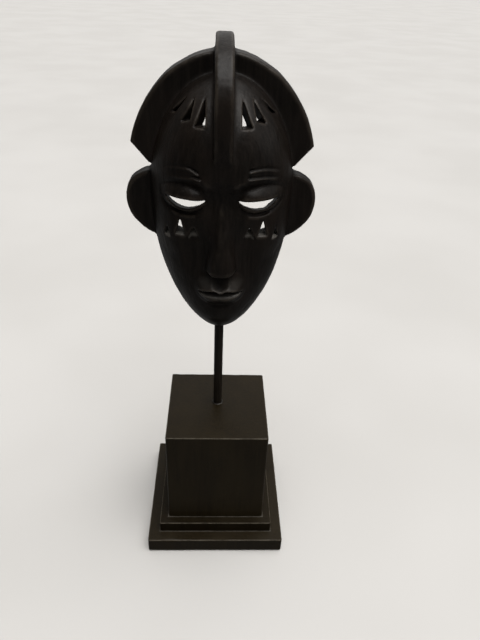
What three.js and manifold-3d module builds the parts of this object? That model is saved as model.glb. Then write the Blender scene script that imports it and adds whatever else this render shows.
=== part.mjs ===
// A carved wooden mask on a stepped display stand. Millimetres, +Z up, the mask faces -Y.
// The origin is the centre of the felt's underside, where the stand meets the table.
import * as THREE from 'three';
import { mergeVertices } from 'three/addons/utils/BufferGeometryUtils.js';
import Module from 'manifold-3d';

const wasm = await Module();
wasm.setup();

// ---------------------------------------------------------------- driving dimensions

// Stand: three square boards stacked on a sheet of felt.
const FELT = { side: 129, height: 1.25, corner: 3, edge: 0 };
const BASE = { side: 132, height: 15, corner: 2.2, edge: 0.8 };
const STEP = { side: 110, height: 11.75, corner: 1.5, edge: 0.8 };
const BLOCK = { side: 93.5, height: 107, corner: 1.8, edge: 0.9 };
const BASE_Z = FELT.height;
const STEP_Z = BASE_Z + BASE.height;
const BLOCK_Z = STEP_Z + STEP.height;
const STAND_TOP = BLOCK_Z + BLOCK.height;

// Countersunk wood screws, driven upwards, four in each board.
const SCREW = { headR: 4, headH: 2.6, shankR: 2, tipH: 4 };
const BASE_SCREW = { offset: 43, length: 24 };
const BLOCK_SCREW = { offset: 30, length: 40 };
const SCREW_SINK = 0.5; // depth of a screw head below the board's face
const FIT_GAP = 0.3; // all round a screw or a bush in its hole

// Round rod that turns in a metal bush in the block and plugs into the chin.
const ROD = { radius: 4, bottom: 80, top: 288, chamfer: 0.8, y: 4.5 };
const BUSH = { outerR: 5.2, boreR: 4.2, length: 40, proud: 0.6, chamfer: 0.4 };
const SOCKET = { radius: 4.35, top: ROD.top + FIT_GAP };

// Mask shell: rings stacked in Z, each a rounded half section that springs from the flat rim.
const RIM_Y = 15;
const FACE = { halfWidth: 54.5, midZ: 352, topZ: 436.5, bottomZ: 231.5 };
const WALL = 8; // thickness of the hollowed shell
const SECTION_POWER = 2.2; // 2 is an ellipse, more is squarer
const CHIN_POWER = [2.3, 1.57]; // shape of the taper from the cheeks down to the chin
const HOLLOW_FLOOR_Z = 308; // the wood below it is left solid, to hold the rod
const PROFILE = [
  // [z, depth of the front surface ahead of the rim], from the chin up to the crown
  [231.5, 0], [233, 18], [236, 29], [242, 38.5], [249, 45.5], [258, 51], [272, 55.5],
  [288, 58.5], [310, 60.5], [340, 62.5], [358, 64.5], [374, 67.5], [386, 67.5], [398, 64.5],
  [409, 58.5], [419, 49.5], [427, 38], [432.5, 26], [435.5, 13], [436.5, 0],
];

// Crest: a fin over the crown, seen from the side as [y, z].
const CREST_HALF_WIDTH = 6.2;
const CREST_EDGE = [
  [15, 456], [0, 459], [-20, 456], [-38, 448.5], [-50, 438.5], [-56.5, 427], [-58.5, 414],
  [-58, 400], [-55, 389], [-50, 381],
];
const CREST_ROOT = [[-30, 395], [-10, 424], [15, 428]];

// Halo: an arched plate behind the dome, half outline as [x, z], mirrored.
const HALO_FRONT_Y = -4;
const HALO_ARC = [
  [0, 448], [12.4, 445.9], [23.3, 442], [36.9, 434.3], [43.6, 428.4], [49, 422.4],
  [54.9, 414.3], [59.6, 406], [63.3, 397.4], [66, 389], [66.9, 385],
];
const HALO_FOOT = [[54, 370], [40, 372]];

// Ears: half-round lugs at the sides, as [x, z].
const EAR_FRONT_Y = 0;
const EAR_ARC = [
  [54, 363.6], [62, 361], [69, 355.8], [72.6, 347.5], [72.8, 337], [69.4, 327], [62, 318.4], [51, 312.6],
];
const EAR_INNER_X = 48;

// Nose: its front outline [x, z] (half) and its ridge [y, z] from the brow to the base.
const NOSE_HALF_OUTLINE = [[3.6, 368], [3.8, 350], [6, 330], [10.4, 314], [11.2, 308], [8, 305]];
const NOSE_RIDGE = [[-47, 368], [-52, 350], [-56.5, 330], [-58.5, 316], [-57.5, 308], [-50, 305]];
const NOSE_ROOT_Y = -38;
const AHEAD_Y = -90; // a plane clear ahead of the nose

// Lips and upper eyelids: flattened balls sunk into the face.
const UPPER_LIP = { centre: [0, -44, 290.8], radii: [16, 6.5, 3.2] };
const LOWER_LIP = { centre: [0, -43, 285.6], radii: [15, 6.5, 4] };
const EYELID = { centre: [27, -34.5, 362.5], radii: [16.5, 14, 6] };

// Openings pierced through the shell, on one side, as [x, z] seen from the front.
const EYE_SLIT = [
  [38.2, 357], [32, 359.4], [22, 360], [12.4, 359.3], [19.3, 354.8], [26.5, 351.9], [33, 352.3],
];
const CROWN_SLOTS = [
  [[12.7, 421], [12.5, 405.9], [19.3, 405.8]],
  [[20, 420.4], [22.5, 409], [28.8, 407]],
  [[24, 420.4], [32, 410.5], [36.9, 409]],
];
const CHEEK_HOLES = [
  [[39.8, 335], [37.2, 325.7], [41.8, 325.3]],
  [[29.7, 342.5], [26.2, 330.4], [32.6, 329.5]],
  [[19.6, 337.8], [15.8, 326.7], [24.6, 325.2]],
];

// Fineness of the meshes, as counts of faces or of points along a line.
const TURNED_SEGMENTS = 32;
const SCREW_SEGMENTS = 20;
const CORNER_SEGMENTS = 4;
const EDGE_SEGMENTS = 2;
const BALL_SEGMENTS = [16, 10];
const SHELL_SEGMENTS = [40, 28];
const PROFILE_POINTS = 400;
const CREST_POINTS = 30;
const HALO_POINTS = 20;
const EAR_POINTS = 18;
const NOSE_POINTS = 14;
const WELD = 1e-4; // points closer than this are one point

// The four corners of a square, anticlockwise from +X +Y.
const SQUARE = [[1, 1], [-1, 1], [-1, -1], [1, -1]];

// ---------------------------------------------------------------- colours

const MATERIALS = {
  felt: { color: 0x1d1d1f, roughness: 0.98, metalness: 0 },
  stand: { color: 0x1c1817, roughness: 0.5, metalness: 0 },
  mask: { color: 0x181311, roughness: 0.4, metalness: 0 },
  rod: { color: 0x141416, roughness: 0.38, metalness: 0.6 },
  bush: { color: 0x6f6b64, roughness: 0.35, metalness: 1 },
  screw: { color: 0xb9a26a, roughness: 0.35, metalness: 1 },
};

// ---------------------------------------------------------------- solids

/** A manifold solid from a closed geometry. */
function toSolid(geometry) {
  const bare = geometry.index ? geometry.toNonIndexed() : geometry;
  const flat = new THREE.BufferGeometry();
  flat.setAttribute('position', bare.getAttribute('position'));
  const merged = mergeVertices(flat, WELD);
  return new wasm.Manifold(new wasm.Mesh({
    numProp: 3,
    vertProperties: new Float32Array(merged.getAttribute('position').array),
    triVerts: new Uint32Array(merged.index.array),
  }));
}

/** The geometry of a manifold solid. */
function toGeometry(solid) {
  const { vertProperties, triVerts } = solid.getMesh();
  const geometry = new THREE.BufferGeometry();
  geometry.setAttribute('position', new THREE.BufferAttribute(vertProperties, 3));
  geometry.setIndex(new THREE.BufferAttribute(triVerts, 1));
  geometry.computeVertexNormals();
  return geometry;
}

/** A solid of revolution about Z from [radius, z] points that start and end on the axis. */
function turned(points, segments = TURNED_SEGMENTS) {
  const profile = points.map(([r, z]) => new THREE.Vector2(r, z));
  return toSolid(new THREE.LatheGeometry(profile, segments).rotateX(Math.PI / 2));
}

/** A square board with rounded corners and eased edges, standing on height z. */
function board({ side, height, corner, edge }, z) {
  const half = side / 2 - edge;
  const shape = new THREE.Shape();
  const turn = Math.PI / 2;
  SQUARE.forEach(([sx, sy], i) => {
    shape.absarc(sx * (half - corner), sy * (half - corner), corner, i * turn, (i + 1) * turn);
  });
  const geometry = new THREE.ExtrudeGeometry(shape, {
    depth: height - 2 * edge,
    curveSegments: CORNER_SEGMENTS,
    bevelEnabled: edge > 0,
    bevelSize: edge,
    bevelThickness: edge,
    bevelSegments: EDGE_SEGMENTS,
  });
  return toSolid(geometry.translate(0, 0, z + edge));
}

/** A countersunk screw that points up from its head at height z, grown by gap all round. */
function screw(x, y, z, length, gap = 0) {
  const { headR, headH, shankR, tipH } = SCREW;
  const tipZ = z + length;
  return turned([
    [0, z - gap],
    [headR + gap, z - gap],
    [headR + gap, z + gap],
    [shankR + gap, z + headH + gap],
    [shankR + gap, tipZ - tipH],
    [0, tipZ + gap],
  ], SCREW_SEGMENTS).translate([x, y, 0]);
}

/** The [x, y] places of four pieces, offset each way from the centre. */
function corners(offset) {
  return SQUARE.map(([sx, sy]) => [sx * offset, sy * offset]);
}

/** Points for an outline, from pairs of numbers. */
function vectors(points) {
  return points.map((p) => new THREE.Vector2(...p));
}

/** A smooth line through hand-placed points. */
function smooth(points, count) {
  return new THREE.SplineCurve(vectors(points)).getPoints(count);
}

// ---------------------------------------------------------------- mask surfaces

const profilePoints = smooth(PROFILE, PROFILE_POINTS);

/** Depth of the face's front surface ahead of the rim at height z. */
function faceDepth(z) {
  const next = profilePoints.findIndex((p) => p.x >= z);
  if (next < 1) return 0;
  const [a, b] = [profilePoints[next - 1], profilePoints[next]];
  return Math.max(0, THREE.MathUtils.mapLinear(z, a.x, b.x, a.y, b.y));
}

/** Half-width of the face at height z: half an ellipse above, a tapering chin below. */
function faceHalfWidth(z) {
  const { halfWidth, midZ, topZ, bottomZ } = FACE;
  if (z >= midZ) return halfWidth * Math.sqrt(Math.max(0, 1 - ((z - midZ) / (topZ - midZ)) ** 2));
  const t = (midZ - z) / (midZ - bottomZ);
  return halfWidth * Math.max(0, 1 - t ** CHIN_POWER[0]) ** (1 / CHIN_POWER[1]);
}

/** The egg-shaped body of the mask, with its widest ring in the rim plane. */
function shell() {
  const geometry = new THREE.SphereGeometry(1, ...SHELL_SEGMENTS);
  geometry.rotateX(Math.PI / 2);
  const position = geometry.getAttribute('position');
  const point = new THREE.Vector3();
  const round = 2 / SECTION_POWER;
  for (let i = 0; i < position.count; i += 1) {
    point.fromBufferAttribute(position, i);
    const ring = Math.hypot(point.x, point.y);
    const [cos, sin] = ring > WELD ? [point.x / ring, point.y / ring] : [0, 0];
    const reach = point.z > 0 ? FACE.topZ - FACE.midZ : FACE.midZ - FACE.bottomZ;
    const z = FACE.midZ + point.z * reach;
    const x = faceHalfWidth(z) * Math.sign(cos) * Math.abs(cos) ** round;
    const y = RIM_Y + faceDepth(z) * Math.sign(sin) * Math.abs(sin) ** round;
    position.setXYZ(i, x, y, z);
  }
  return toSolid(geometry);
}

/** The hollow behind the face: the shell drawn in by the wall, with a flat floor. */
function hollow() {
  const scaleX = (FACE.halfWidth - WALL) / FACE.halfWidth;
  const maxDepth = Math.max(...PROFILE.map(([, depth]) => depth));
  const scaleY = (maxDepth - WALL) / maxDepth;
  const crown = FACE.topZ - FACE.midZ;
  const scaleZ = (crown - WALL) / crown;
  const inner = shell()
    .translate([0, -RIM_Y, -FACE.midZ])
    .scale([scaleX, scaleY, scaleZ])
    .translate([0, RIM_Y, FACE.midZ]);
  return inner.trimByPlane([0, 0, 1], HOLLOW_FLOOR_Z);
}

/** Extrudes an [x, z] outline along Y, between two depths. */
function fromFront(points, yFront, yBack) {
  const options = { depth: yBack - yFront, bevelEnabled: false };
  const geometry = new THREE.ExtrudeGeometry(new THREE.Shape(points), options);
  return toSolid(geometry.rotateX(Math.PI / 2).translate(0, yBack, 0));
}

/** Extrudes a [y, z] outline along X, across the middle. */
function fromSide(points, halfWidth) {
  const options = { depth: 2 * halfWidth, bevelEnabled: false };
  const geometry = new THREE.ExtrudeGeometry(new THREE.Shape(points), options);
  geometry.rotateX(Math.PI / 2).rotateZ(Math.PI / 2).translate(-halfWidth, 0, 0);
  return toSolid(geometry);
}

/** A half outline and its mirror image, joined into one. */
function bothSides(half) {
  const mirrored = half.map((p) => new THREE.Vector2(-p.x, p.y)).reverse();
  return [...half, ...mirrored.filter((p) => p.x !== 0)];
}

/** The solid and its mirror image in the plane x = 0. */
function pair(solid) {
  return [solid, solid.mirror([1, 0, 0])];
}

/** A flattened ball. */
function ball({ centre, radii }) {
  const geometry = new THREE.SphereGeometry(1, ...BALL_SEGMENTS);
  return toSolid(geometry.scale(...radii).translate(...centre));
}

function crest() {
  const outline = [...smooth(CREST_EDGE, CREST_POINTS), ...vectors(CREST_ROOT)];
  return fromSide(outline, CREST_HALF_WIDTH);
}

function halo() {
  const outline = bothSides([...smooth(HALO_ARC, HALO_POINTS), ...vectors(HALO_FOOT)]);
  return fromFront(outline, HALO_FRONT_Y, RIM_Y);
}

function ears() {
  const arc = smooth(EAR_ARC, EAR_POINTS);
  const root = vectors([[EAR_INNER_X, arc.at(-1).y], [EAR_INNER_X, arc[0].y]]);
  return pair(fromFront([...arc, ...root], EAR_FRONT_Y, RIM_Y));
}

function nose() {
  const front = bothSides(vectors(NOSE_HALF_OUTLINE));
  const ridge = smooth(NOSE_RIDGE, NOSE_POINTS);
  const root = vectors([[NOSE_ROOT_Y, ridge.at(-1).y], [NOSE_ROOT_Y, ridge[0].y]]);
  const side = fromSide([...ridge, ...root], FACE.halfWidth);
  return side.intersect(fromFront(front, AHEAD_Y, NOSE_ROOT_Y));
}

/** Everything pierced from the front: eye slits, crown slots and cheek holes. */
function piercings() {
  const outlines = [EYE_SLIT, ...CROWN_SLOTS, ...CHEEK_HOLES];
  return outlines.flatMap((outline) => pair(fromFront(vectors(outline), AHEAD_Y, 0)));
}

function mask() {
  let solid = shell();
  const added = [crest(), halo(), ...ears(), nose(), ball(UPPER_LIP), ball(LOWER_LIP)];
  added.push(...pair(ball(EYELID)));
  for (const piece of added) solid = solid.add(piece);
  solid = solid.trimByPlane([0, -1, 0], -RIM_Y).subtract(hollow());
  for (const hole of piercings()) solid = solid.subtract(hole);
  const socket = turned([
    [0, FACE.bottomZ - WALL],
    [SOCKET.radius, FACE.bottomZ - WALL],
    [SOCKET.radius, SOCKET.top],
    [0, SOCKET.top],
  ]);
  return solid.subtract(socket.translate([0, ROD.y, 0]));
}

// ---------------------------------------------------------------- stand pieces

const baseScrewPlaces = corners(BASE_SCREW.offset);
const blockScrewPlaces = corners(BLOCK_SCREW.offset);
const baseScrewZ = BASE_Z + SCREW_SINK;
const blockScrewZ = STEP_Z + SCREW_SINK;

/** The solid with a screw hole, open below, at each place. */
function drilled(solid, places, screwZ, length) {
  let result = solid;
  for (const [x, y] of places) {
    const hole = screw(x, y, screwZ, length, FIT_GAP);
    const mouth = turned([
      [0, screwZ - 2 * SCREW_SINK],
      [SCREW.headR + FIT_GAP, screwZ - 2 * SCREW_SINK],
      [SCREW.headR + FIT_GAP, screwZ],
      [0, screwZ],
    ], SCREW_SEGMENTS).translate([x, y, 0]);
    result = result.subtract(hole).subtract(mouth);
  }
  return result;
}

function basePlate() {
  return drilled(board(BASE, BASE_Z), baseScrewPlaces, baseScrewZ, BASE_SCREW.length);
}

function stepPlate() {
  const plate = drilled(board(STEP, STEP_Z), blockScrewPlaces, blockScrewZ, BLOCK_SCREW.length);
  return drilled(plate, baseScrewPlaces, baseScrewZ, BASE_SCREW.length);
}

function pedestalBlock() {
  const bushBottom = STAND_TOP + BUSH.proud - BUSH.length;
  const bore = turned([
    [0, ROD.bottom - FIT_GAP],
    [BUSH.boreR, ROD.bottom - FIT_GAP],
    [BUSH.boreR, bushBottom - FIT_GAP],
    [BUSH.outerR + FIT_GAP, bushBottom - FIT_GAP],
    [BUSH.outerR + FIT_GAP, STAND_TOP + BUSH.proud],
    [0, STAND_TOP + BUSH.proud],
  ]).translate([0, ROD.y, 0]);
  const block = board(BLOCK, BLOCK_Z).subtract(bore);
  return drilled(block, blockScrewPlaces, blockScrewZ, BLOCK_SCREW.length);
}

function rodBush() {
  const top = STAND_TOP + BUSH.proud;
  const sleeve = turned([
    [0, top - BUSH.length],
    [BUSH.outerR, top - BUSH.length],
    [BUSH.outerR, top - BUSH.chamfer],
    [BUSH.outerR - BUSH.chamfer, top],
    [0, top],
  ]);
  const bore = turned([
    [0, top - BUSH.length - BUSH.proud],
    [BUSH.boreR, top - BUSH.length - BUSH.proud],
    [BUSH.boreR, top + BUSH.proud],
    [0, top + BUSH.proud],
  ]);
  return sleeve.subtract(bore).translate([0, ROD.y, 0]);
}

function supportRod() {
  const { radius, bottom, top, chamfer } = ROD;
  return turned([
    [0, bottom],
    [radius - chamfer, bottom],
    [radius, bottom + chamfer],
    [radius, top - chamfer],
    [radius - chamfer, top],
    [0, top],
  ]).translate([0, ROD.y, 0]);
}

// ---------------------------------------------------------------- the assembly

const group = new THREE.Group();

/** Adds one named mesh to the assembly. */
function addPiece(name, solid, look) {
  const mesh = new THREE.Mesh(toGeometry(solid), new THREE.MeshStandardMaterial(MATERIALS[look]));
  mesh.name = name;
  group.add(mesh);
}

addPiece('felt_base', board(FELT, 0), 'felt');
addPiece('base_plate', basePlate(), 'stand');
addPiece('step_plate', stepPlate(), 'stand');
addPiece('pedestal_block', pedestalBlock(), 'stand');
baseScrewPlaces.forEach(([x, y], i) => {
  addPiece(`base_screw_${i + 1}`, screw(x, y, baseScrewZ, BASE_SCREW.length), 'screw');
});
blockScrewPlaces.forEach(([x, y], i) => {
  addPiece(`block_screw_${i + 1}`, screw(x, y, blockScrewZ, BLOCK_SCREW.length), 'screw');
});
addPiece('rod_bush', rodBush(), 'bush');
addPiece('support_rod', supportRod(), 'rod');
addPiece('mask', mask(), 'mask');

export default group;
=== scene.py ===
"""Looks of a carved wooden mask on a stepped display stand.

The mask is sculpted as one signed field on a grid, in millimetres, in a frame of its own:
x across the face, d ahead of the flat rim at the back, h above the tip of the chin.
The field is meshed, carving marks are pressed into it, and it rides on the CAD body "mask".
The boards, felt, rod and bush of the stand are meshes with eased and rubbed edges, and the
screws are the CAD's own.
"""
import math

import bmesh
import bpy
import numpy as np
from mathutils import Matrix, Vector


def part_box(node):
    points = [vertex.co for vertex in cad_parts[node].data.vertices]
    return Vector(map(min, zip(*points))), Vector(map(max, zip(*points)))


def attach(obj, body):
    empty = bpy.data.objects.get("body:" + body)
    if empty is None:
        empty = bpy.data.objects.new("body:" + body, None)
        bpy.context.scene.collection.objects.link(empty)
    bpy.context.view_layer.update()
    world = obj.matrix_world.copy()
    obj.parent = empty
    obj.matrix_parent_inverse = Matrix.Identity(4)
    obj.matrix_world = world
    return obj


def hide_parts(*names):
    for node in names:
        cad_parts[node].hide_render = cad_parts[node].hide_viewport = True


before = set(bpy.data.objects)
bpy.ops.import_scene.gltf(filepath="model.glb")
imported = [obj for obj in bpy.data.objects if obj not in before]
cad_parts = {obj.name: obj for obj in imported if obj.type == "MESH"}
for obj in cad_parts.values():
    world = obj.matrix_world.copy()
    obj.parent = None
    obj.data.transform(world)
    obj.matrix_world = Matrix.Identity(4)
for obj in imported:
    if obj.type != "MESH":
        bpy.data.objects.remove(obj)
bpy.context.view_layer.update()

MM = 0.001

# ------------------------------------------------------------------ frame of the mask, mm

MASK_LOW, MASK_HIGH = (np.array(corner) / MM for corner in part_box("mask"))
RIM_Y = MASK_HIGH[1]
CHIN_Z = MASK_LOW[2]
TOP_H = MASK_HIGH[2] - CHIN_Z
REACH_X = MASK_HIGH[0]
ROD_LOW, ROD_HIGH = (np.array(corner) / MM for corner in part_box("support_rod"))
ROD_RADIUS = (ROD_HIGH[0] - ROD_LOW[0]) / 2
ROD_D = RIM_Y - (ROD_LOW[1] + ROD_HIGH[1]) / 2
ROD_TOP_H = ROD_HIGH[2] - CHIN_Z

VOXEL = 0.8
GRID_MARGIN = 3.0

# Shell of the face.
HALF_WIDTH = 54.5
MID_H = 120.5
CROWN_H = 205.0
WALL = 8.0
SECTION_POWER = 2.2
CHIN_POWER = (2.3, 1.57)
HOLLOW_FLOOR_H = 76.5
PROFILE = (  # (h, depth of the front ahead of the rim), from the chin up to the crown
    (0, 0), (1.5, 18), (4.5, 29), (10.5, 38.5), (17.5, 45.5), (26.5, 51), (40.5, 55.5),
    (56.5, 58.5), (78.5, 60.5), (108.5, 62.5), (126.5, 64.5), (142.5, 67.5), (154.5, 67.5),
    (166.5, 64.5), (177.5, 58.5), (187.5, 49.5), (195.5, 38), (201, 26), (204, 13), (205, 0),
)

# Crest, seen from the side as (d, h): its free edge, then its root inside the shell.
CREST_HALF_WIDTH = 6.2
CREST_EDGE = (
    (0, 224.2), (15, 227), (35, 224), (53, 216.7), (65, 206.8), (71.3, 195.4), (73.3, 182.5),
    (72.8, 168.5), (69.8, 157.5), (64.5, 149.5),
)
CREST_ROOT = ((45, 163.5), (25, 192.5), (0, 196.5))

# Halo and ears, half outlines as (x, h).
HALO_DEPTH = 19.0
HALO_ARC = (
    (0, 216.5), (12.4, 214.4), (23.3, 210.5), (36.9, 202.8), (43.6, 196.9), (49, 190.9),
    (54.9, 182.8), (59.6, 174.5), (63.3, 165.9), (66, 157.5), (66.9, 153.8),
)
HALO_FOOT = ((54, 138.7), (40, 140.5), (0, 150))
EAR_DEPTH = 14.5
EAR_ARC = (
    (50, 132.2), (56, 131.6), (62, 129.4), (69, 124.2), (72.5, 116), (72.6, 105.5), (69.2, 95.7),
    (62, 87.2), (54, 81.8), (48, 80.4),
)

# Eyes, as (x, h): the corners of a slit.
EYE_INNER, EYE_OUTER = (10.2, 127.4), (39.4, 127.6)
# Lines cut over the eyes: (x, h, depth of the cut) from the middle outwards.
BROW_LINES_LEFT = (
    ((15.6, 145.6, 0.0), (17, 146.8, 1.5), (21.5, 148.8, 1.3), (26, 149.2, 0.7),
     (33.2, 147.9, 0.5), (41, 144.5, 0.0)),
    ((14.4, 142.8, 0.0), (15.6, 143.0, 1.4), (19.6, 143.4, 1.2), (24, 143.2, 0.5),
     (33.2, 142.4, 0.4), (40, 140, 0.0)),
)
BROW_LINES_RIGHT = (
    ((17.2, 148.2, 0.0), (18.6, 148.8, 1.5), (21, 149.1, 1.0), (28, 149.0, 0.9),
     (34, 147.4, 0.8), (40.5, 144.5, 0.0)),
    ((16.8, 143.8, 0.0), (18.6, 143.9, 1.2), (28, 143.4, 1.1), (34, 142, 0.9),
     (40.5, 139.8, 0.0)),
)

# Openings pierced through the shell, as (x, h), on the side where x is positive.
CROWN_SLOTS = (
    ((12.7, 189.6), (12.5, 174.4), (19.4, 174.3)),
    ((19.8, 189.0), (22.5, 177.5), (28.8, 175.5)),
    ((25, 188.6), (33, 179.2), (36.7, 177.7)),
)
# How far a slot runs in towards the middle for each mm of depth, on the left and on the right.
SLOT_LEANS = ((0.62, 0.85, 1.1), (0.50, 0.60, 0.1))
CHEEK_HOLES = (
    ((39.8, 103.8), (37.2, 94.2), (41.8, 93.8)),
    ((29.7, 111.4), (26.0, 98.9), (32.8, 98.2)),
    ((19.6, 106.5), (15.8, 95.2), (24.6, 93.9)),
)
HOLE_SILLS = (1.6, 1.25, 5.6)  # how much lower a hole is at the face than at the end of its sill
SILL_DEPTH = 9.0
EYE_DROP = 0.42  # how far an eye's slit falls for each mm of depth
EYE_EASE = 1.8
EYE_FLARE = 0.02  # how much wider, as a share, a slit grows for each mm of depth

# ------------------------------------------------------------------ light and camera

WORLD_GLOWS = (  # direction, angle where it fades out, angle where it is full, strength
    ((0.18, -0.16, 1.0), 41, 6, 10.5),
    ((0.0, 0.70, 0.70), 48, 15, 0.80),
    ((0.93, 0.05, 0.42), 34, 8, 1.2),
    ((-0.5, 1.0, -0.2), 100, 20, 0.16),
    ((0.3, -1.0, -0.1), 100, 30, 0.17),
    ((0.0, -0.2, -1.0), 80, 30, 0.20),
    ((0.0, 0.0, 1.0), 180, 0, 0.06),
)

CAMERA_PLACE = (-3.41, -413.35, 498.08)
CAMERA_YAW, CAMERA_PITCH, CAMERA_ROLL = 3.0, -32.685, 2.54
CAMERA_FOCAL = 31.53
SENSOR = 36.0


# ------------------------------------------------------------------ small maths

def catmull(points, steps=24):
    """A smooth line through given 2-D points."""
    p = np.asarray(points, float)
    padded = np.vstack([p[:1], p, p[-1:]])
    t = np.linspace(0, 1, steps, endpoint=False)[:, None]
    parts = []
    for a, b, c, d in zip(padded, padded[1:], padded[2:], padded[3:]):
        v0, v1 = (c - a) / 2, (d - b) / 2
        parts.append((2 * b - 2 * c + v0 + v1) * t**3 + (3 * c - 3 * b - 2 * v0 - v1) * t**2
                     + v0 * t + b)
    return np.vstack([*parts, p[-1:]])


def smooth_min(a, b, k):
    """The lower of two fields, blended over a width of about k."""
    mix = np.clip(0.5 + 0.5 * (b - a) / k, 0, 1)
    return b * (1 - mix) + a * mix - k * mix * (1 - mix)


def smooth_max(a, b, k):
    return -smooth_min(-a, -b, k)


def smooth_step(low, high, v):
    t = np.clip((v - low) / (high - low), 0, 1)
    return t * t * (3 - 2 * t)


def bump(u, v, power=2.0):
    """A soft mound: 1 at the middle, 0 from u*u + v*v = 1 outwards."""
    return np.maximum(0, 1 - u * u - v * v) ** power


def ridge(distance, width):
    return np.exp(-((distance / width) ** 2))


def outline_field(x, h, points):
    """Signed distance to a closed outline, negative inside."""
    p = np.asarray(points, float)
    q = np.roll(p, -1, axis=0)
    nearest = np.full(np.broadcast(x, h).shape, 1e9)
    inside = np.zeros(nearest.shape, bool)
    for (x0, h0), (x1, h1) in zip(p, q):
        ex, eh = x1 - x0, h1 - h0
        wx, wh = x - x0, h - h0
        t = np.clip((wx * ex + wh * eh) / max(ex * ex + eh * eh, 1e-9), 0, 1)
        nearest = np.minimum(nearest, (wx - ex * t) ** 2 + (wh - eh * t) ** 2)
        crossing = (h0 > h) != (h1 > h)
        side = x0 + (h - h0) * ex / (eh if eh else 1e-9)
        inside ^= crossing & (x < side)
    return np.where(inside, -1, 1) * np.sqrt(nearest)


def lattice_noise(p, size, seed):
    """Smooth noise from -1 to 1 at points p, with cells of the given size on each axis."""
    q = p / np.asarray(size, float)
    cell = np.floor(q).astype(np.int64)
    f = q - cell
    f = f * f * f * (f * (f * 6 - 15) + 10)
    total = np.zeros(len(p))
    for corner in np.ndindex(2, 2, 2):
        at = cell + np.array(corner)
        key = (at[:, 0] * 73856093) ^ (at[:, 1] * 19349663) ^ (at[:, 2] * 83492791)
        key = (key ^ (seed * 668265263)) & 0xFFFFFFFF
        key = ((key ^ (key >> 15)) * 0x2C1B3C6D) & 0xFFFFFFFF
        key = ((key ^ (key >> 12)) * 0x297A2D39) & 0xFFFFFFFF
        value = ((key ^ (key >> 15)) & 0xFFFFFF) / 0x7FFFFF - 1
        weight = np.prod(np.where(np.array(corner) == 1, f, 1 - f), axis=1)
        total += weight * value
    return total


# ------------------------------------------------------------------ sculpting the mask

def face_depth(h):
    line = catmull(PROFILE)
    return np.interp(h, line[:, 0], line[:, 1], left=0, right=0)


def face_half_width(h):
    up = np.clip((h - MID_H) / (CROWN_H - MID_H), 0, 1)
    down = np.clip((MID_H - h) / MID_H, 0, 1)
    crown = np.sqrt(1 - up**2)
    chin = (1 - down ** CHIN_POWER[0]) ** (1 / CHIN_POWER[1])
    return HALF_WIDTH * crown * chin


def shell_field(x, d, h):
    """About the distance to the egg-shaped body. x, d and h are open grids."""
    floor_size = 1.5
    step = 0.25
    w, depth = face_half_width(h), face_depth(h)
    w_slope = (face_half_width(h + step) - face_half_width(h - step)) / (2 * step)
    depth_slope = (face_depth(h + step) - face_depth(h - step)) / (2 * step)
    w, depth = np.maximum(w, floor_size), np.maximum(depth, floor_size)
    n = SECTION_POWER
    a, b = (np.abs(x) / w) ** n, (np.abs(d) / depth) ** n
    g = np.maximum(a + b, 1e-6) ** (1 / n)
    gx = (np.abs(x) / w) ** (n - 1) / w
    gd = (np.abs(d) / depth) ** (n - 1) / depth
    gh = a * w_slope / w + b * depth_slope / depth
    steep = np.sqrt(gx**2 + gd**2 + gh**2) * g ** (1 - n)
    field = (g - 1) / np.maximum(steep, 1 / HALF_WIDTH)
    rows = np.linspace(0, CROWN_H, 80)
    sides = mirrored(zip(face_half_width(rows), rows))
    front = [*zip(face_depth(rows), rows), (-CROWN_H, CROWN_H), (-CROWN_H, 0)]
    return np.maximum(field, np.maximum(outline_field(x[:, 0], h[0], sides)[:, None],
                                        outline_field(d[0], h[0], front)[None]))


def hollow_field(x, d, h):
    """The hollow behind the face: the shell drawn in by the wall, above a rounded floor."""
    depth_max = max(depth for _, depth in PROFILE)
    scale_x = (HALF_WIDTH - WALL) / HALF_WIDTH
    scale_d = (depth_max - WALL) / depth_max
    scale_h = (CROWN_H - MID_H - WALL) / (CROWN_H - MID_H)
    inner = shell_field(x / scale_x, d / scale_d, MID_H + (h - MID_H) / scale_h)
    floor = HOLLOW_FLOOR_H - h + 0.12 * (d - 20)
    return smooth_max(inner * scale_x, floor, 12.0)


def eye_slit(ax):
    """Heights of the top and the bottom of an eye's slit, ax away from the middle."""
    (x0, h0), (x1, h1) = EYE_INNER, EYE_OUTER
    u = np.clip((ax - x0) / (x1 - x0), 0, 1)
    chord = h0 + (h1 - h0) * u
    return chord + 0.9 * 4 * u * (1 - u), chord - 7.2 * np.sin(np.pi * u**1.25)


def eye_relief(ax, h):
    """The eyeball under its lids, the hollow round it and the lines beneath it."""
    u = (ax - 28.0) / 17.0
    v = (h - 126.8) / np.where(h > 126.8, 10.2, 9.8)
    ball = 7.2 * np.maximum(0, 1 - np.abs(u) ** 2.2 - v * v) ** 0.95
    socket = -3.2 * bump((ax - 27) / 24, (h - 128) / 17, 1.5)
    low = 126.8 - 9.8 * np.maximum(0, 1 - u * u) ** 0.5
    under = -0.4 * ridge(h - low + 0.8, 1.3) * (np.abs(u) < 0.9)
    bag_h = 115.6 + 0.02 * (ax - 27) ** 2
    bag_span = smooth_step(17, 21, ax) * (1 - smooth_step(33, 37, ax))
    bag = (-0.8 * ridge(h - bag_h, 0.9) + 0.8 * ridge(h - bag_h + 1.9, 1.1)) * bag_span
    return ball + socket + under + bag


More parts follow.
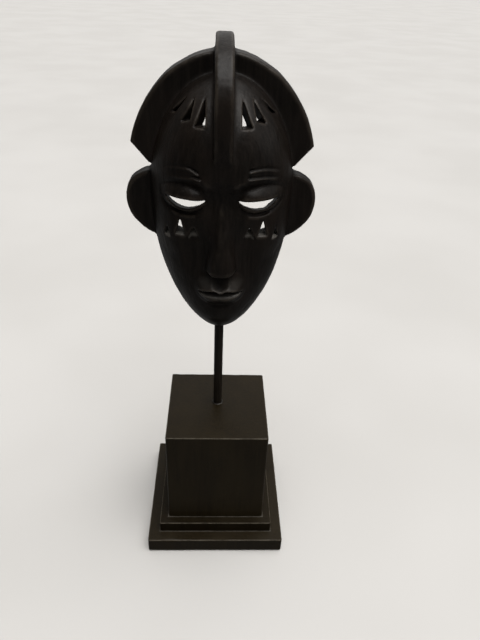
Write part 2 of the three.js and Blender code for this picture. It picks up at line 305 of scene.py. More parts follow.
def brow_relief(x, h):
    """The soft brow and the two lines cut over each eye, which differ from side to side."""
    ax = np.abs(x)
    brow_h = 141.0 - 0.014 * (ax - 22) ** 2
    brow_span = smooth_step(3, 12, ax) * (1 - smooth_step(38, 50, ax))
    relief = 1.0 * ridge(h - brow_h, 4.2) * brow_span
    for lines, side in ((BROW_LINES_LEFT, x < 0), (BROW_LINES_RIGHT, x >= 0)):
        for line in lines:
            path = catmull(line, 8)
            line_h = np.interp(ax, path[:, 0], path[:, 1])
            depth = np.interp(ax, path[:, 0], path[:, 2], left=0, right=0)
            cut = -0.8 * ridge(h - line_h - 0.8, 0.75) + 0.7 * ridge(h - line_h + 0.5, 0.8)
            relief = relief + np.where(side, cut * depth, 0)
    return relief


def mouth_relief(x, h):
    """The mouth, a little open between full lips, with the groove under the nose and the chin."""
    ax = np.abs(x)
    v = np.clip(ax / 17.5, 0, 1)
    span = (1 - v**2.6) ** 0.8
    above = 56.3 + 2.6 * smooth_step(0, 5.5, ax) - 4.6 * np.clip((ax - 4) / 13.5, 0, 1) ** 1.4
    below = 53.0 + 1.2 * v**1.5
    top = 67.0 - 5.0 * v * v
    low = 54.0 - 10.5 * (1 - v**2.4) ** 0.75
    t = np.clip((top - h) / (top - above), 0, 1)
    upper = 6.0 * span * t * (0.35 + 0.65 * t) * smooth_step(above - 0.9, above + 0.1, h)
    down = np.clip((below - h) / np.maximum(below - low, 0.5), 0, 1)
    lower = 5.4 * span * (1 - (1 - down) ** 4) * (1 - down**1.6) ** 0.8
    muzzle = 3.4 * np.maximum(0, 1 - (ax / 20) ** 2.2 - (np.abs(h - 57) / 17) ** 2.2) ** 0.9
    gap = -2.4 * ridge(h - (above + below) / 2, 1.3) * span
    ledge = 57.6 + 2.6 * np.clip(ax / 5.5, 0, 1)
    groove = smooth_step(ledge, ledge + 1.1, h) * (1 - smooth_step(68, 73, h))
    philtrum = -1.9 * groove * (1 - smooth_step(2.8, 7.2, ax))
    dent = -1.3 * bump(x / 10, (h - 42) / 4.4, 1.0)
    chin = 1.6 * bump(x / 15, (h - 27) / 14, 1.5)
    return upper + lower + gap + muzzle + philtrum + dent + chin


def face_relief(x, h):
    """How far the carving stands proud of the plain shell, over the front."""
    ax = np.abs(x)
    relief = eye_relief(ax, h) + brow_relief(x, h) + mouth_relief(x, h)
    relief = relief - 3.4 * bump(x / 17, (h - 126) / 17, 2.0)
    relief = relief - 2.4 * bump((ax - 18) / 13, (h - 88) / 25, 1.5)
    return relief + 1.4 * bump((ax - 35) / 13, (h - 96) / 20, 1.5)


def nose_field(x, d, h):
    """The nose: a long ridge that widens to the wings and is undercut below."""
    heights = (71, 75, 80, 90, 105, 120, 128, 140)
    ridge_d = np.interp(h, heights, (70.6, 71.2, 71.0, 69.8, 67.0, 63.6, 61.4, 56.0))
    wing = np.interp(h, heights, (11.4, 11.6, 11.0, 9.0, 7.2, 5.2, 3.8, 3.4))
    base_d = np.interp(h, heights, (57.0, 57.2, 57.6, 58.4, 59.2, 59.6, 58.5, 54.0))
    u = np.abs(x) / wing
    boxy = 2.2 + 1.3 * smooth_step(0, 1, (96 - h) / 16)
    crown = np.maximum(0, 1 - np.clip(u, 0, 1) ** boxy) ** 0.7
    surface = base_d + (ridge_d - base_d) * crown - 6 * np.maximum(0, u - 1) * wing
    slope = np.gradient(surface, VOXEL, axis=0)
    front = (d - surface) / np.sqrt(1 + slope**2)
    bottom_h = 71.6 + 0.012 * x**2 - 0.05 * (d - 70)
    return smooth_max(smooth_max(front, bottom_h - h, 1.8), h - 140, 1.0)


def window(axes, low, high):
    """The slices and open grid of the part of the field between two corners."""
    cuts = tuple(slice(*np.searchsorted(axis, (a, b)))
                 for axis, a, b in zip(axes, low, high))
    return cuts, np.meshgrid(*(axis[c] for axis, c in zip(axes, cuts)), indexing="ij", sparse=True)


def side_window(axes, sign, x_span, h_span):
    low, high = sorted((sign * x_span[0], sign * x_span[1]))
    return window(axes, (low, 14, h_span[0]), (high, 76, h_span[1]))


def pierce_slot(field, skin, axes, outline, lean, sign):
    """Cuts one slot of the crown, that runs in towards the middle as it goes deeper."""
    p = np.asarray(outline, float)
    (x_low, h_low), (x_high, h_high) = p.min(0), p.max(0)
    cuts, (x, _, h) = side_window(axes, sign, (x_low - 12, x_high + 3), (h_low - 3, h_high + 3))
    shifted = x * sign + lean * np.maximum(0, -skin[cuts])
    cut = outline_field(shifted, h + 0 * shifted, p)
    field[cuts] = smooth_max(field[cuts], -cut, 0.8)


def pierce_hole(field, skin, axes, outline, sill, sign):
    """Cuts one hole of the cheek, whose sill slopes up from the face into the wood."""
    p = np.asarray(outline, float)
    (x_low, h_low), (x_high, h_high) = p.min(0), p.max(0)
    cuts, (x, _, h) = side_window(axes, sign, (x_low - 3, x_high + 3), (h_low - 3, h_high + 3))
    squeeze = 1 + (sill - 1) * np.clip(-skin[cuts] / SILL_DEPTH, 0, 1)
    cut = outline_field(x * sign, h_high - (h_high - h) * squeeze, p) / squeeze
    field[cuts] = smooth_max(field[cuts], -cut, 0.8)


def pierce_eye(field, skin, axes, sign):
    """Cuts an eye's slit, which slopes down to the back, and eases its lower edge."""
    cuts, (x, _, h) = side_window(axes, sign, (EYE_INNER[0] - 5, EYE_OUTER[0] + 7), (104, 134))
    behind = np.maximum(0, -skin[cuts])
    middle = (EYE_INNER[0] + EYE_OUTER[0]) / 2
    ax = middle + (x * sign - middle) / (1 + EYE_FLARE * behind)
    top, bottom = eye_slit(ax)
    drop = EYE_DROP * behind
    eased = EYE_EASE * np.clip(1 - behind / EYE_EASE, 0, 1)
    lowered = bottom - eased * np.minimum(1, (top - bottom) / 3)
    inside = np.maximum(h + drop - top, lowered - h - drop)
    ends = np.maximum(EYE_INNER[0] - ax, ax - EYE_OUTER[0])
    cut = smooth_max(inside, ends, 0.6)
    field[cuts] = smooth_max(field[cuts], -cut, 0.8)


def mirrored(half):
    half = [tuple(map(float, p)) for p in half]
    return half + [(-x, h) for x, h in reversed(half) if x != 0]


def plate_field(flat, d, depth, edge):
    """A plate with the given flat outline field, from the rim forward to depth."""
    return smooth_max(flat, d - depth, edge)


def mask_field():
    """The whole carving on a grid, with the grid's axes."""
    spans = ((-REACH_X, REACH_X), (0, RIM_Y - MASK_LOW[1]), (0, TOP_H))
    axes = [np.arange(a - GRID_MARGIN, b + GRID_MARGIN + VOXEL, VOXEL) for a, b in spans]
    axes[0] = axes[0] - axes[0].mean()
    x, d, h = np.meshgrid(*axes, indexing="ij", sparse=True)
    front = smooth_step(16, 30, d)
    solid = shell_field(x, d, h) - face_relief(x, h) * front
    solid = smooth_min(solid, nose_field(x, d, h), 3.2)
    halo_flat = outline_field(x[:, 0], h[0], mirrored([*catmull(HALO_ARC, 8), *HALO_FOOT]))
    solid = smooth_min(solid, plate_field(halo_flat[:, None], d, HALO_DEPTH, 3.4), 1.8)
    ear_flat = outline_field(np.abs(x[:, 0]), h[0], catmull(EAR_ARC, 8))
    solid = smooth_min(solid, plate_field(ear_flat[:, None], d, EAR_DEPTH, 3.0), 2.4)
    side = outline_field(d[0], h[0], [*catmull(CREST_EDGE, 10), *CREST_ROOT])
    crest = smooth_max(side[None], np.abs(x) - CREST_HALF_WIDTH, 2.6)
    solid = smooth_min(solid, crest, 2.6)
    solid = smooth_max(solid, -d, 2.0)
    hollow = hollow_field(x, d, h)
    skin = solid
    solid = smooth_max(solid, -hollow, 3.0)
    for sign, leans in zip((-1, 1), SLOT_LEANS):
        pierce_eye(solid, skin, axes, sign)
        for outline, lean in zip(CROWN_SLOTS, leans):
            pierce_slot(solid, skin, axes, outline, lean, sign)
        for outline, sill in zip(CHEEK_HOLES, HOLE_SILLS):
            pierce_hole(solid, skin, axes, outline, sill, sign)
    socket = np.maximum(np.hypot(x, d - ROD_D) - ROD_RADIUS - 0.3, h - ROD_TOP_H - 0.3)
    solid = smooth_max(solid, -socket, 0.8)
    return solid.astype(np.float32), axes, hollow.astype(np.float32)


def surface_net(field):
    """Vertices, in grid units, and quads of the field's zero surface."""
    inside = field < 0
    shape = tuple(n - 1 for n in field.shape)
    corners = list(np.ndindex(2, 2, 2))
    part = {c: inside[tuple(slice(o, o + n) for o, n in zip(c, shape))] for c in corners}
    count = sum(p.astype(np.uint8) for p in part.values())
    cells = np.argwhere((count > 0) & (count < 8))
    ids = np.full(shape, -1, np.int64)
    ids[tuple(cells.T)] = np.arange(len(cells))
    total, hits = np.zeros((len(cells), 3)), np.zeros(len(cells))
    for a in corners:
        for axis in range(3):
            if a[axis]:
                continue
            b = tuple(1 if i == axis else v for i, v in enumerate(a))
            fa = field[tuple((cells + a).T)].astype(float)
            fb = field[tuple((cells + b).T)].astype(float)
            crossing = (fa < 0) != (fb < 0)
            t = np.where(crossing, fa / np.where(crossing, fa - fb, 1), 0)
            point = np.array(a, float) + t[:, None] * (np.array(b) - np.array(a))
            total += np.where(crossing[:, None], point, 0)
            hits += crossing
    vertices = cells + total / hits[:, None]
    quads = []
    for axis in range(3):
        u, v = [i for i in range(3) if i != axis]
        one = [slice(1, -1)] * 3
        two = [slice(1, -1)] * 3
        one[axis], two[axis] = slice(0, -1), slice(1, None)
        first, second = inside[tuple(one)], inside[tuple(two)]
        at = np.argwhere(first != second)
        keep = first[tuple(at.T)] == (axis == 1)
        at[:, u] += 1
        at[:, v] += 1
        ring = []
        for du, dv in ((0, 0), (1, 0), (1, 1), (0, 1)):
            cell = at.copy()
            cell[:, u] -= du
            cell[:, v] -= dv
            ring.append(ids[tuple(cell.T)])
        quad = np.stack(ring, 1)
        quad[~keep] = quad[~keep][:, ::-1]
        quads.append(quad)
    return vertices, np.vstack(quads)


def sample(field, p):
    """The field at points given in grid units."""
    top = np.array(field.shape) - 2
    cell = np.clip(np.floor(p).astype(int), 0, top)
    f = np.clip(p - cell, 0, 1)
    total = np.zeros(len(p))
    for corner in np.ndindex(2, 2, 2):
        weight = np.prod(np.where(np.array(corner) == 1, f, 1 - f), axis=1)
        total += weight * field[tuple((cell + np.array(corner)).T)]
    return total


def quad_edges(quads):
    edges = np.vstack([quads[:, [i, (i + 1) % 4]] for i in range(4)])
    return np.unique(np.sort(edges, axis=1), axis=0)


def neighbour_mean(values, edges, count):
    """The mean of each vertex's neighbours' values."""
    a, b = edges[:, 0], edges[:, 1]
    degree = np.bincount(a, minlength=count) + np.bincount(b, minlength=count)
    columns = []
    for column in values.reshape(count, -1).T:
        total = np.bincount(a, column[b], count) + np.bincount(b, column[a], count)
        columns.append(total / np.maximum(degree, 1))
    return np.stack(columns, 1).reshape(values.shape)


def settle(vertices, quads, field, rounds):
    """Evens the net out along the surface and puts it back on the zero surface."""
    edges = quad_edges(quads)
    slopes = np.gradient(field)
    for _ in range(rounds):
        moved = vertices + 0.5 * (neighbour_mean(vertices, edges, len(vertices)) - vertices)
        value = sample(field, moved)
        slope = np.stack([sample(s, moved) for s in slopes], 1)
        step = value[:, None] * slope / np.maximum((slope**2).sum(1), 0.05)[:, None]
        length = np.linalg.norm(step, axis=1, keepdims=True)
        vertices = moved - step * np.minimum(1, 0.5 / np.maximum(length, 1e-9))
    return vertices, edges


def vertex_normals(vertices, quads):
    a, b, c, d = (vertices[quads[:, i]] for i in range(4))
    face = np.cross(c - a, d - b)
    normals = np.zeros_like(vertices)
    for i in range(4):
        for axis in range(3):
            normals[:, axis] += np.bincount(quads[:, i], face[:, axis], len(vertices))
    return normals / np.maximum(np.linalg.norm(normals, axis=1, keepdims=True), 1e-9)


def carving_marks(p, inside_hollow):
    """How far the knife, gouge and grain move the surface, in mm, at points p."""
    sway = 0.30 * lattice_noise(p, (26, 26, 34), 3)
    facets = 0.16 * np.abs(lattice_noise(p, (7, 7, 11), 5)) - 0.05
    grain = 0.045 * lattice_noise(p, (0.9, 1.1, 16), 7)
    gouges = -0.9 * np.abs(lattice_noise(p, (7.5, 7.5, 15), 11)) + 0.25
    return np.where(inside_hollow, gouges + sway, sway + facets + grain)


def new_mesh_object(name, vertices, faces):
    mesh = bpy.data.meshes.new(name)
    mesh.from_pydata([tuple(v) for v in vertices], [], [tuple(map(int, f)) for f in faces])
    mesh.validate()
    mesh.shade_smooth()
    obj = bpy.data.objects.new(name, mesh)
    bpy.context.scene.collection.objects.link(obj)
    return obj


def point_attribute(obj, name, values):
    attribute = obj.data.attributes.new(name, "FLOAT", "POINT")
    attribute.data.foreach_set("value", np.asarray(values, np.float32))


def make_mask():
    field, axes, hollow = mask_field()
    vertices, quads = surface_net(field)
    vertices, edges = settle(vertices, quads, field, 4)
    start = np.array([axis[0] for axis in axes])
    local = start + vertices * VOXEL
    deep = sample(hollow, vertices) < 1.2
    world = np.stack([local[:, 0], RIM_Y - local[:, 1], CHIN_Z + local[:, 2]], 1)
    normals = vertex_normals(world, quads)
    world = world + normals * carving_marks(world, deep)[:, None]
    bend = ((neighbour_mean(world, edges, len(world)) - world) * normals).sum(1)
    for _ in range(3):
        bend = neighbour_mean(bend, edges, len(world))
    obj = new_mesh_object("mask_carving", world * MM, quads)
    scale = 0.05 * VOXEL
    point_attribute(obj, "wear", np.clip(-bend / scale, 0, 1))
    point_attribute(obj, "cavity", np.clip(bend / scale, 0, 1))
    point_attribute(obj, "hollow", deep.astype(float))
    ax, h, ahead = np.abs(local[:, 0]), local[:, 2], local[:, 1] > 30
    # Painted highlight: a lighter colour where the overhead light catches the muzzle above the lip,
    # the top edge of the lower lip, the ledge under the groove and the upward-facing sills of the
    # cheek holes, kept out of the mouth's gap and off the back.
    painted_highlight = 0.22 * bump((ax - 10) / 8, (h - 62.5) / 6, 1.0)
    painted_highlight = painted_highlight + 1.3 * ridge(h - 51.8 - 0.004 * ax**2, 0.9) * (1 - smooth_step(12, 17, ax))
    painted_highlight = painted_highlight + 0.5 * ridge(h - 57.4 - 0.5 * ax, 0.8) * (1 - smooth_step(4, 6, ax))
    painted_highlight = painted_highlight * (1 - ridge(h - 54.9 - 0.1 * np.minimum(ax, 9), 1.2))
    for outline in CHEEK_HOLES:
        painted_highlight[(outline_field(ax, h, outline) < 0.2) & (normals[:, 2] > 0.2)] = 1
    point_attribute(obj, "painted_highlight", neighbour_mean(painted_highlight * ahead, edges, len(world)))
    return obj


# ------------------------------------------------------------------ stand pieces

def round_to(p, half, radius, axes):
    """Pulls points outside the rounded edges of a box, in the given axes, onto them."""
    flat = p[:, axes]
    core = np.clip(flat, -(half[axes] - radius), half[axes] - radius)
    out = flat - core
    length = np.linalg.norm(out, axis=1, keepdims=True)
    p = p.copy()
    p[:, axes] = core + out / np.maximum(length, 1e-9) * np.minimum(length, radius)
    return p


def board_mesh(low, high, cells, ease, corner, rub, chips, seed):
    """A board with upright corners rounded by corner and edges eased by ease and rubbed, mm.

    A chip is (place, (how much more is worn off, its reach along x, y and z)).
    """
    half, centre = (high - low) / 2, (high + low) / 2
    bm = bmesh.new()
    bmesh.ops.create_cube(bm, size=2.0)
    bmesh.ops.subdivide_edges(bm, edges=bm.edges[:], cuts=cells, use_grid_fill=True)
    co = np.array([v.co for v in bm.verts])
    p = np.sign(co) * crowd(np.abs(co), corner * 1.6 / half) * half
    near = p + centre
    radius = ease + rub * np.clip(lattice_noise(near, (9, 9, 9), seed), 0, 1) ** 1.5
    radius = radius + 0.35 * rub * lattice_noise(near, (2.4, 2.4, 2.4), seed + 1)
    for place, size in chips:
        reach = np.linalg.norm((near - np.array(place)) / np.array(size)[1:], axis=1)
        radius = radius + size[0] * np.maximum(0, 1 - reach) ** 0.7
    radius = np.where(co[:, 2] < 0, 0.35, 1) * radius
    radius = np.clip(radius, 0.2, half.min() * 0.5)[:, None]
    p = round_to(p, half, corner, [0, 1])
    inset = half - np.abs(p)
    p = round_to(p, half, radius, [0, 1, 2])
    for v, at in zip(bm.verts, (p + centre) * MM):
        v.co = at
    bm.normal_update()
    edge = np.sort(inset, axis=1)[:, 1]
    return bm, np.clip(1.35 - edge / ease, 0, 1)


def crowd(t, edge):
    """Moves evenly spaced rows from 0 to 1 so that a third of them lie near 1."""
    split = 0.72
    inner = t / split * (1 - edge)
    outer = 1 - edge + (t - split) / (1 - split) * edge
    return np.where(t < split, inner, outer)


def finish_bmesh(bm, name, smooth=True):
    mesh = bpy.data.meshes.new(name)
    bm.to_mesh(mesh)
    bm.free()
    if smooth:
        mesh.shade_smooth()
    obj = bpy.data.objects.new(name, mesh)
    bpy.context.scene.collection.objects.link(obj)
    return obj


def make_board(name, node, ease, corner, rub, cells, seed, chips=()):
    low, high = (np.array(c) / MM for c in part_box(node))
    bm, wear = board_mesh(low, high, cells, ease, corner, rub, chips, seed)
    obj = finish_bmesh(bm, name)
    point_attribute(obj, "wear", wear)
    return obj


def lathe(name, points, centre, segments=72):
    """A turned piece from (radius, z) points in mm, about a vertical axis at centre."""
    rings = len(points)
    angle = np.linspace(0, 2 * np.pi, segments, endpoint=False)
    vertices, faces = [], []
    for radius, z in points:
        ring = np.stack([radius * np.cos(angle), radius * np.sin(angle), z + 0 * angle], 1)
        vertices.append(ring)
    vertices = np.vstack(vertices) + np.array([centre[0], centre[1], 0])
    closed = points[0] == points[-1]
    for i in range(rings - 1):
        for j in range(segments):
            k = (j + 1) % segments
            faces.append((i * segments + j, i * segments + k, (i + 1) * segments + k,
                          (i + 1) * segments + j))
    obj = new_mesh_object(name, vertices * MM, faces)
    bm = bmesh.new()
    bm.from_mesh(obj.data)
    if closed:
        bmesh.ops.remove_doubles(bm, verts=bm.verts[:], dist=1e-7)
    else:
        ends = [e for e in bm.edges if e.is_boundary]
        bmesh.ops.contextual_create(bm, geom=ends)
        bmesh.ops.holes_fill(bm, edges=[e for e in bm.edges if e.is_boundary], sides=0)
    bmesh.ops.recalc_face_normals(bm, faces=bm.faces[:])
    bm.to_mesh(obj.data)
    bm.free()
    return obj


# ------------------------------------------------------------------ materials

class Graph:
    """A material's node tree, built from small calls that return output sockets."""

    def __init__(self, name):
        self.material = bpy.data.materials.new(name)
        self.material.use_nodes = True
        self.tree = self.material.node_tree
        self.tree.nodes.clear()
        self.shader = self.tree.nodes.new("ShaderNodeBsdfPrincipled")
        output = self.tree.nodes.new("ShaderNodeOutputMaterial")
        self.tree.links.new(self.shader.outputs[0], output.inputs["Surface"])
        self.place = self.tree.nodes.new("ShaderNodeTexCoord").outputs["Object"]

    def put(self, socket, value):
        if isinstance(value, bpy.types.NodeSocket):
            self.tree.links.new(value, socket)
        else:
            socket.default_value = value

    def node(self, kind, **values):
        made = self.tree.nodes.new(kind)
        for name, value in values.items():
            setattr(made, name, value)
        return made

    def stretched(self, scale):
        """Object coordinates, in metres, scaled on each axis."""
        mapping = self.node("ShaderNodeMapping")
        self.put(mapping.inputs["Vector"], self.place)
        mapping.inputs["Scale"].default_value = scale
        return mapping.outputs[0]

    def noise(self, scale, detail=4.0, roughness=0.55, distortion=0.0):
        made = self.node("ShaderNodeTexNoise")
        self.put(made.inputs["Vector"], self.stretched(scale))
        made.inputs["Scale"].default_value = 1.0
        made.inputs["Detail"].default_value = detail
        made.inputs["Roughness"].default_value = roughness
        made.inputs["Distortion"].default_value = distortion
        return made.outputs["Fac"]

    def attribute(self, name):
        return self.node("ShaderNodeAttribute", attribute_name=name).outputs["Fac"]

    def math(self, operation, a, b=0.0):
        made = self.node("ShaderNodeMath", operation=operation)
        self.put(made.inputs[0], a)
        self.put(made.inputs[1], b)
        return made.outputs[0]

    def remap(self, value, low, high, to_low=0.0, to_high=1.0):
        made = self.node("ShaderNodeMapRange", interpolation_type="SMOOTHSTEP")
        self.put(made.inputs["Value"], value)
        for name, number in (("From Min", low), ("From Max", high),
                             ("To Min", to_low), ("To Max", to_high)):
            made.inputs[name].default_value = number
        return made.outputs["Result"]

    def blend(self, share, a, b):
        made = self.node("ShaderNodeMix", data_type="RGBA")
        self.put(made.inputs["Factor"], share)
        sockets = [s for s in made.inputs if s.type == "RGBA"]
        for socket, value in zip(sockets, (a, b)):
            self.put(socket, (*value, 1.0) if isinstance(value, tuple) else value)
        return next(s for s in made.outputs if s.type == "RGBA")

    def bump(self, height, distance, strength=1.0, normal=None):
        made = self.node("ShaderNodeBump")
        made.inputs["Strength"].default_value = strength
        made.inputs["Distance"].default_value = distance
        self.put(made.inputs["Height"], height)
        if normal is not None:
            self.put(made.inputs["Normal"], normal)
        return made.outputs["Normal"]

    def finish(self, colour, roughness, normal=None, **fixed):
        self.put(self.shader.inputs["Base Color"], colour)
        self.put(self.shader.inputs["Roughness"], roughness)
        if normal is not None:
            self.put(self.shader.inputs["Normal"], normal)
        for name, value in fixed.items():
            self.shader.inputs[name.replace("_", " ")].default_value = value
        return self.material


def mask_wood():
    g = Graph("mask_stained_wood")
    grain = g.noise((420, 420, 26), detail=5, roughness=0.6, distortion=0.3)
    broad = g.noise((30, 30, 16), detail=3)
    patches = g.noise((70, 70, 50), detail=4, roughness=0.7)
    base = g.blend(g.remap(grain, 0.35, 0.7), (0.0027, 0.0021, 0.0017), (0.0054, 0.0042, 0.0034))
    base = g.blend(g.remap(broad, 0.42, 0.66, 0, 0.55), base, (0.0070, 0.0050, 0.0038))
    wear = g.remap(g.attribute("wear"), 0.35, 1.0)
    wear = g.math("MULTIPLY", wear, g.remap(patches, 0.36, 0.7, 0.25, 1.0))
    base = g.blend(g.math("MULTIPLY", wear, 0.4), base, (0.034, 0.028, 0.022))
    # Painted highlight: the lips and the sills of the cheek holes are made lighter where light
    # catches them.
    base = g.blend(g.attribute("painted_highlight"), base, (0.046, 0.043, 0.039))
    hollow = g.attribute("hollow")
    base = g.blend(g.math("MULTIPLY", hollow, 0.6), base, (0.012, 0.0085, 0.006))
    rough = g.remap(patches, 0.3, 0.75, 0.30, 0.44)
    # The rubbed edges and the painted highlight are made a little glossier.
    polish_and_highlight = g.math("ADD", wear, g.attribute("painted_highlight"))
    rough = g.math("SUBTRACT", rough, g.math("MULTIPLY", polish_and_highlight, 0.10))
    rough = g.math("ADD", rough, g.math("MULTIPLY", g.attribute("cavity"), 0.16))
    rough = g.math("ADD", rough, g.math("MULTIPLY", hollow, 0.22))
    fine = g.bump(grain, 0.0003, 0.75)
    normal = g.bump(g.noise((130, 130, 90), detail=3), 0.0007, 0.4, fine)
    return g.finish(base, rough, normal, IOR=1.12, Specular_IOR_Level=0.85)


def stand_wood(name, painted_shade=1.0, foot=None):
    """Stained wood, its colour and gloss scaled down by a factor of painted shade for a piece that
    lies in shadow. Dust and old wax lie along the foot, in metres, of what stands on it.
    """
    # Colours darkened by the painted shade.
    def with_painted_shade(*colour):
        return tuple(painted_shade * c for c in colour)

    g = Graph(name)
    grain = g.noise((520, 520, 20), detail=5, roughness=0.62, distortion=0.4)
    broad = g.noise((26, 26, 12), detail=3)
    base = g.blend(g.remap(grain, 0.35, 0.72), with_painted_shade(0.0050, 0.0034, 0.0013),
                   with_painted_shade(0.0076, 0.0052, 0.0020))
    base = g.blend(g.remap(broad, 0.4, 0.68, 0, 0.5), base, with_painted_shade(0.0098, 0.0070, 0.0030))
    scuffs = g.noise((160, 160, 160), detail=4, roughness=0.7)
    rubbed = g.math("MULTIPLY", g.attribute("wear"), g.remap(scuffs, 0.34, 0.56, 0.25, 1.0))
    base = g.blend(rubbed, base, (0.034, 0.029, 0.021))
    rough = g.remap(broad, 0.3, 0.7, 0.38, 0.52)
    if foot:
        split = g.node("ShaderNodeSeparateXYZ")
        g.put(split.inputs[0], g.place)
        across, along = (g.math("ABSOLUTE", split.outputs[axis]) for axis in "XY")
        gap = g.math("ABSOLUTE", g.math("SUBTRACT", g.math("MAXIMUM", across, along), foot))
        dust = g.math("MULTIPLY", g.remap(gap, 0.0003, 0.0012, 1.0, 0.0),
                      g.remap(scuffs, 0.34, 0.56, 0.3, 0.8))
        base = g.blend(dust, base, (0.034, 0.031, 0.026))
        rough = g.math("ADD", rough, g.math("MULTIPLY", dust, 0.2))
    normal = g.bump(grain, 0.00025, 0.5)
    return g.finish(base, rough, normal, IOR=1.12, Specular_IOR_Level=0.95 * painted_shade)


def felt_cloth():
    g = Graph("black_felt")
    fuzz = g.noise((2600, 2600, 2600), detail=4, roughness=0.7)
    clumps = g.noise((500, 500, 500), detail=3)
    base = g.blend(g.remap(fuzz, 0.3, 0.7), (0.010, 0.010, 0.011), (0.040, 0.040, 0.043))
    base = g.blend(g.remap(clumps, 0.4, 0.7, 0, 0.5), base, (0.028, 0.028, 0.030))
    rough = g.remap(clumps, 0.3, 0.7, 0.88, 1.0)
    return g.finish(base, rough, g.bump(fuzz, 0.0004, 0.8), Sheen_Weight=0.4,
                    Sheen_Roughness=0.5, Specular_IOR_Level=0.15)


def rod_paint():
    g = Graph("rod_black_paint")
    streak = g.noise((900, 900, 40), detail=4, roughness=0.6)
    specks = g.noise((1400, 1400, 1400), detail=2)
    base = g.blend(g.remap(streak, 0.3, 0.75), (0.0048, 0.0038, 0.0030), (0.0110, 0.0088, 0.0064))
    rough = g.remap(streak, 0.3, 0.7, 0.28, 0.44)
    return g.finish(base, rough, g.bump(specks, 0.00008, 0.5), IOR=1.1, Specular_IOR_Level=1.0)


def turned_metal(name, dark, light, low, high):
    g = Graph(name)
    rings = g.noise((90, 90, 2600), detail=4, roughness=0.6)
    stain = g.noise((240, 240, 240), detail=4, roughness=0.7)
    base = g.blend(g.remap(rings, 0.3, 0.7), dark, light)
    base = g.blend(g.remap(stain, 0.5, 0.75, 0, 0.6), base, tuple(c * 0.5 for c in dark))
    rough = g.remap(stain, 0.3, 0.7, low, high)
    return g.finish(base, rough, g.bump(rings, 0.00006, 0.6), Metallic=1.0)


# ------------------------------------------------------------------ assembly

def give(obj, body, material, node):
    obj.data.materials.clear()
    obj.data.materials.append(material)
    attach(obj, body)
    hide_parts(node)


def build_stand():
    cells = 60
    (base_x, base_y, _), (_, _, base_top) = (np.array(c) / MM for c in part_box("base_plate"))
    (_, block_y, _), (block_x, _, block_top) = (np.array(c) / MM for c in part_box("pedestal_block"))
    step_half, block_half = (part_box(node)[1][0] for node in ("step_plate", "pedestal_block"))
    block_chips = (((block_x, block_y, block_top), (2.0, 8, 8, 7)),)
    base_chips = (((base_x + 22, base_y, base_top), (1.6, 6, 5, 5)),)
    block = make_board("pedestal_block_wood", "pedestal_block", 0.8, 2.4, 0.6, cells, 21, block_chips)
    give(block, "stand", stand_wood("block_stained_wood"), "pedestal_block")
    step = make_board("step_plate_wood", "step_plate", 0.7, 1.6, 0.5, cells, 31)
    # The step gets painted shade at 0.7, for the shadow it lies in beside the block.
    give(step, "stand", stand_wood("step_stained_wood", 0.7, block_half), "step_plate")
    base = make_board("base_plate_wood", "base_plate", 0.8, 2.2, 0.7, cells, 41, base_chips)
    # The base plate gets painted shade at 0.92.
    give(base, "stand", stand_wood("base_stained_wood", 0.92, step_half), "base_plate")
    felt = make_board("felt_sheet", "felt_base", 0.3, 3.0, 0.2, cells, 51)
    give(felt, "stand", felt_cloth(), "felt_base")


def build_rod():
    centre = ((ROD_LOW[0] + ROD_HIGH[0]) / 2, (ROD_LOW[1] + ROD_HIGH[1]) / 2)
    r, low, high = ROD_RADIUS, ROD_LOW[2], ROD_HIGH[2]
    profile = [(r - 1.0, low), (r - 0.3, low + 0.2), (r, low + 1.0)]
    profile += [(r, z) for z in np.linspace(low + 6, high - 6, 30)]
    profile += [(r, high - 1.0), (r - 0.3, high - 0.2), (r - 1.0, high)]
    rod = lathe("support_rod_steel", profile, centre)
    give(rod, "rod", rod_paint(), "support_rod")
    low, high = (np.array(c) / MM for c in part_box("rod_bush"))
    outer, inner = (high[0] - low[0]) / 2, ROD_RADIUS + 0.2
    ring = [(inner, low[2]), (outer, low[2]), (outer, high[2] - 0.5), (outer - 0.15, high[2] - 0.2),
            (outer - 0.5, high[2]), (inner + 0.4, high[2]), (inner, high[2] - 0.4),
            (inner, low[2])]
    bush = lathe("rod_bush_steel", ring, centre)
    metal = turned_metal("bush_steel", (0.020, 0.019, 0.018), (0.055, 0.052, 0.048), 0.4, 0.55)
    give(bush, "stand", metal, "rod_bush")


def finish_screws():
    zinc = turned_metal("screw_zinc", (0.45, 0.35, 0.16), (0.70, 0.58, 0.32), 0.25, 0.45)
    for name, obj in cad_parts.items():
        if "screw" in name:
            obj.data.materials.clear()
            obj.data.materials.append(zinc)


def build_mask():
    mask = make_mask()
    give(mask, "mask", mask_wood(), "mask")


# ------------------------------------------------------------------ stage, light and camera

def make_stage():
    bm = bmesh.new()
    bmesh.ops.create_circle(bm, cap_ends=True, segments=96, radius=60.0)
    floor = finish_bmesh(bm, "studio_floor", smooth=False)
    g = Graph("studio_pale")
    soft = g.noise((3, 3, 3), detail=2)
    colour = g.blend(g.remap(soft, 0.3, 0.7), (0.245, 0.240, 0.232), (0.262, 0.257, 0.250))
    floor.data.materials.append(g.finish(colour, 0.85))
    floor.visible_glossy = False  # the black gloss mirrors the soft light alone


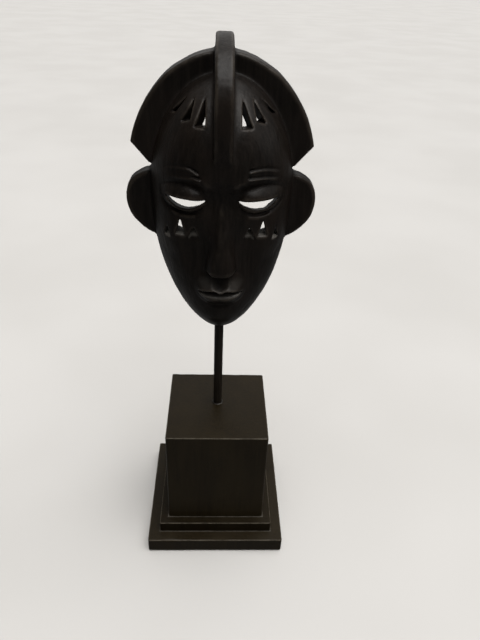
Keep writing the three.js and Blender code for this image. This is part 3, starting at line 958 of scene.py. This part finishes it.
def make_world():
    """Soft light from above and behind, and a dim room in front, by direction alone."""
    world = bpy.data.worlds.new("studio")
    bpy.context.scene.world = world
    world.use_nodes = True
    tree = world.node_tree
    direction = tree.nodes.new("ShaderNodeTexCoord").outputs["Generated"]

    def lobe(towards, wide, narrow, strength):
        """A glow round one direction, that fades between two angles in degrees."""
        dot = tree.nodes.new("ShaderNodeVectorMath")
        dot.operation = "DOT_PRODUCT"
        tree.links.new(direction, dot.inputs[0])
        dot.inputs[1].default_value = Vector(towards).normalized()
        fade = tree.nodes.new("ShaderNodeMapRange")
        fade.interpolation_type = "SMOOTHSTEP"
        tree.links.new(dot.outputs["Value"], fade.inputs["Value"])
        fade.inputs["From Min"].default_value = math.cos(math.radians(wide))
        fade.inputs["From Max"].default_value = math.cos(math.radians(narrow))
        fade.inputs["To Max"].default_value = strength
        return fade.outputs["Result"]

    total = None
    for glow in WORLD_GLOWS:
        value = lobe(*glow)
        if total is None:
            total = value
            continue
        add = tree.nodes.new("ShaderNodeMath")
        tree.links.new(total, add.inputs[0])
        tree.links.new(value, add.inputs[1])
        total = add.outputs[0]
    background = tree.nodes["Background"]
    background.inputs["Color"].default_value = (1.0, 0.985, 0.965, 1.0)
    tree.links.new(total, background.inputs["Strength"])


def make_key_light():
    """A wide soft lamp overhead."""
    data = bpy.data.lights.new("key_overhead", "AREA")
    data.size, data.energy, data.color = 1.5, 8, (1.0, 0.985, 0.96)
    light = bpy.data.objects.new("key_overhead", data)
    bpy.context.scene.collection.objects.link(light)
    light.location = (0.15, -0.2, 2.2)
    aim = Vector((0, 0, 0.3)) - light.location
    light.rotation_euler = aim.to_track_quat("-Z", "Y").to_euler()


def make_camera():
    yaw, pitch, roll = (math.radians(a) for a in (CAMERA_YAW, CAMERA_PITCH, CAMERA_ROLL))
    ahead = Vector((math.sin(yaw) * math.cos(pitch), math.cos(yaw) * math.cos(pitch),
                    math.sin(pitch)))
    right = Vector((math.cos(yaw), -math.sin(yaw), 0))
    up = right.cross(ahead)
    right, up = (right * math.cos(roll) + up * math.sin(roll),
                 up * math.cos(roll) - right * math.sin(roll))
    data = bpy.data.cameras.new("camera")
    data.sensor_width = SENSOR
    data.lens = CAMERA_FOCAL
    camera = bpy.data.objects.new("camera", data)
    bpy.context.scene.collection.objects.link(camera)
    turn = Matrix((right, up, -ahead)).transposed().to_4x4()
    camera.matrix_world = Matrix.Translation(Vector(CAMERA_PLACE) * MM) @ turn
    bpy.context.scene.camera = camera


make_camera()
make_world()
make_key_light()
make_stage()
build_stand()
build_rod()
finish_screws()
build_mask()
bpy.context.scene.view_settings.view_transform = "Standard"
